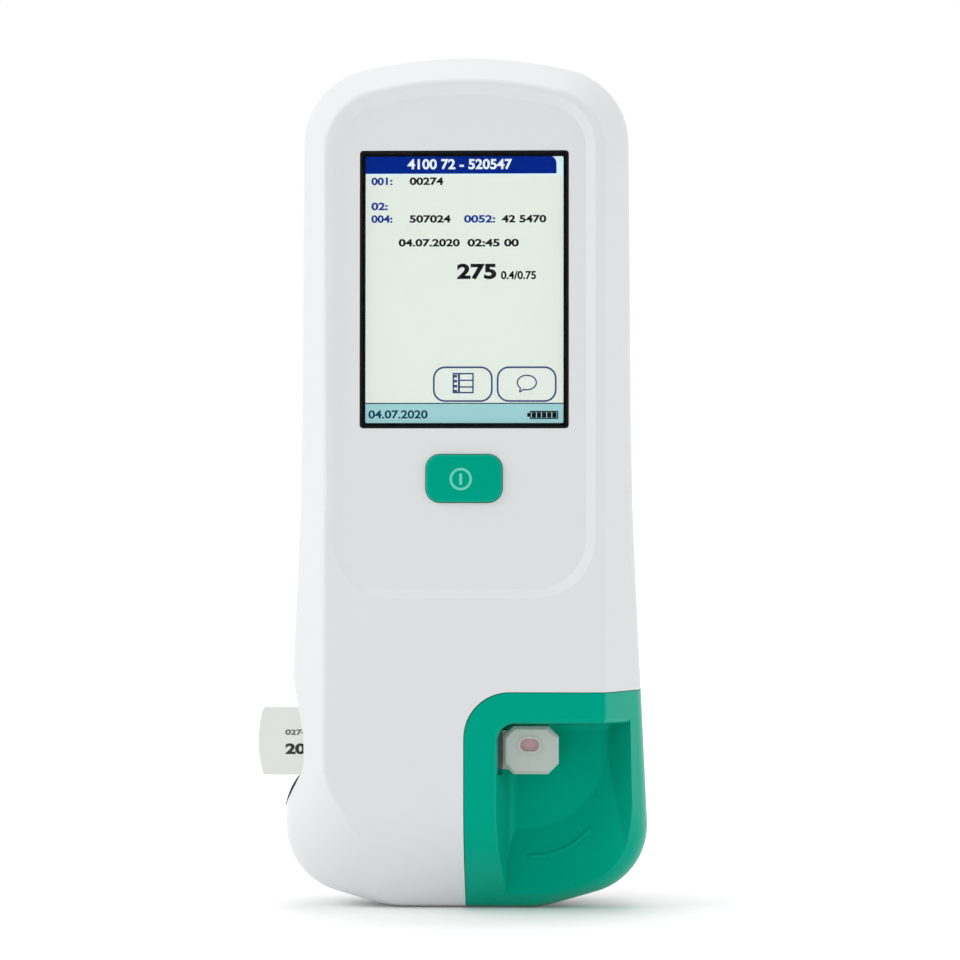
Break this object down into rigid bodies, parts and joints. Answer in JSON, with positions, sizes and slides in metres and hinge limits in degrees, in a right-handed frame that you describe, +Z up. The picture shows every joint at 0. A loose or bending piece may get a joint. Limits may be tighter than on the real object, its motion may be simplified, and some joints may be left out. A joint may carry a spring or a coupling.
{
  "type": "handheld immunoassay analyzer",
  "caption": "Upright handheld analyzer with a recessed display panel, a green measuring cover with a scoop for a test strip, a side code chip and a battery in its back.",
  "frame": {"origin": "on the base, in the middle plane, where the front and rear case halves meet", "axes": "+Z up along the upright case, +X to the right seen from the front, +Y towards the back"},
  "size_m": [0.1122, 0.0522, 0.244],
  "materials": {
    "case_plastic": "fine-grained white moulded plastic",
    "green_plastic": "satin green moulded plastic",
    "black_plastic": "matte black plastic",
    "display_glass": "clear touch glass",
    "lcd": "lit display surface",
    "holder_plastic": "grey moulded plastic",
    "ribbon": "amber flexible cable",
    "board": "green fibreglass board",
    "chips": "black moulded packages",
    "tin": "tinned sheet steel",
    "steel": "zinc-plated steel",
    "contact_gold": "gold-plated contacts",
    "heater": "milled aluminium",
    "lens": "coated lens",
    "diode": "clear diode",
    "chip_plastic": "translucent pale plastic",
    "strip_plastic": "white moulded plastic",
    "sample_pad": "pink absorbent pad",
    "membrane": "white membrane",
    "battery_plastic": "dark wrapped battery pack",
    "foot_rubber": "grey rubber",
    "window_plastic": "dark red infrared window"
  },
  "bodies": {
    "housing": {"front_cover": "case_plastic", "rear_cover": "case_plastic", "display_gasket": "black_plastic", "touch_panel": "display_glass", "lcd_module": "lcd", "display_holder": "holder_plastic", "display_ribbon": "ribbon", "board_link": "ribbon", "power_switch": "chips", "main_board": "board", "measuring_board": "board", "camera_board": "board", "board_chips": "chips", "shield_can": "tin", "buzzer": "chips", "backup_cell": "steel", "strip_guide": "holder_plastic", "heater_plate": "heater", "chamber_tray": "black_plastic", "optics_block": "black_plastic", "camera_lens": "lens", "light_diodes": "diode", "strip_switch": "chips", "chip_socket": "black_plastic", "battery_pack": "battery_plastic", "battery_contacts": "contact_gold", "case_screws": "steel", "power_jack": "black_plastic", "dock_contacts": "contact_gold", "infrared_window": "window_plastic", "rubber_foot_1": "foot_rubber", "rubber_foot_2": "foot_rubber", "rubber_foot_3": "foot_rubber", "rubber_foot_4": "foot_rubber"},
    "power_button": {"power_button": "green_plastic"},
    "code_chip": {"code_chip": "chip_plastic"},
    "test_strip": {"test_strip": "strip_plastic", "sample_pad": "sample_pad", "strip_membrane": "membrane"},
    "measuring_cover": {"measuring_cover": "green_plastic"},
    "battery_cover": {"battery_cover": "case_plastic"}
  },
  "joints": [
    {"name": "power_button_press", "type": "slide", "parent": "housing", "child": "power_button", "axis": [0, 0.9997, -0.0244], "range_m": [0, 0.0008], "stiffness_N_per_m": 2500},
    {"name": "code_chip_slide", "type": "slide", "parent": "housing", "child": "code_chip", "axis": [-1, 0, 0], "range_m": [0, 0.03]},
    {"name": "test_strip_slide", "type": "slide", "parent": "housing", "child": "test_strip", "axis": [1, 0, 0], "range_m": [0, 0.1]},
    {"name": "measuring_cover_slide", "type": "slide", "parent": "housing", "child": "measuring_cover", "axis": [1, 0, 0], "range_m": [0, 0.06]},
    {"name": "battery_cover_lift", "type": "slide", "parent": "housing", "child": "battery_cover", "axis": [0, 1, 0], "range_m": [0, 0.015]}
  ]
}
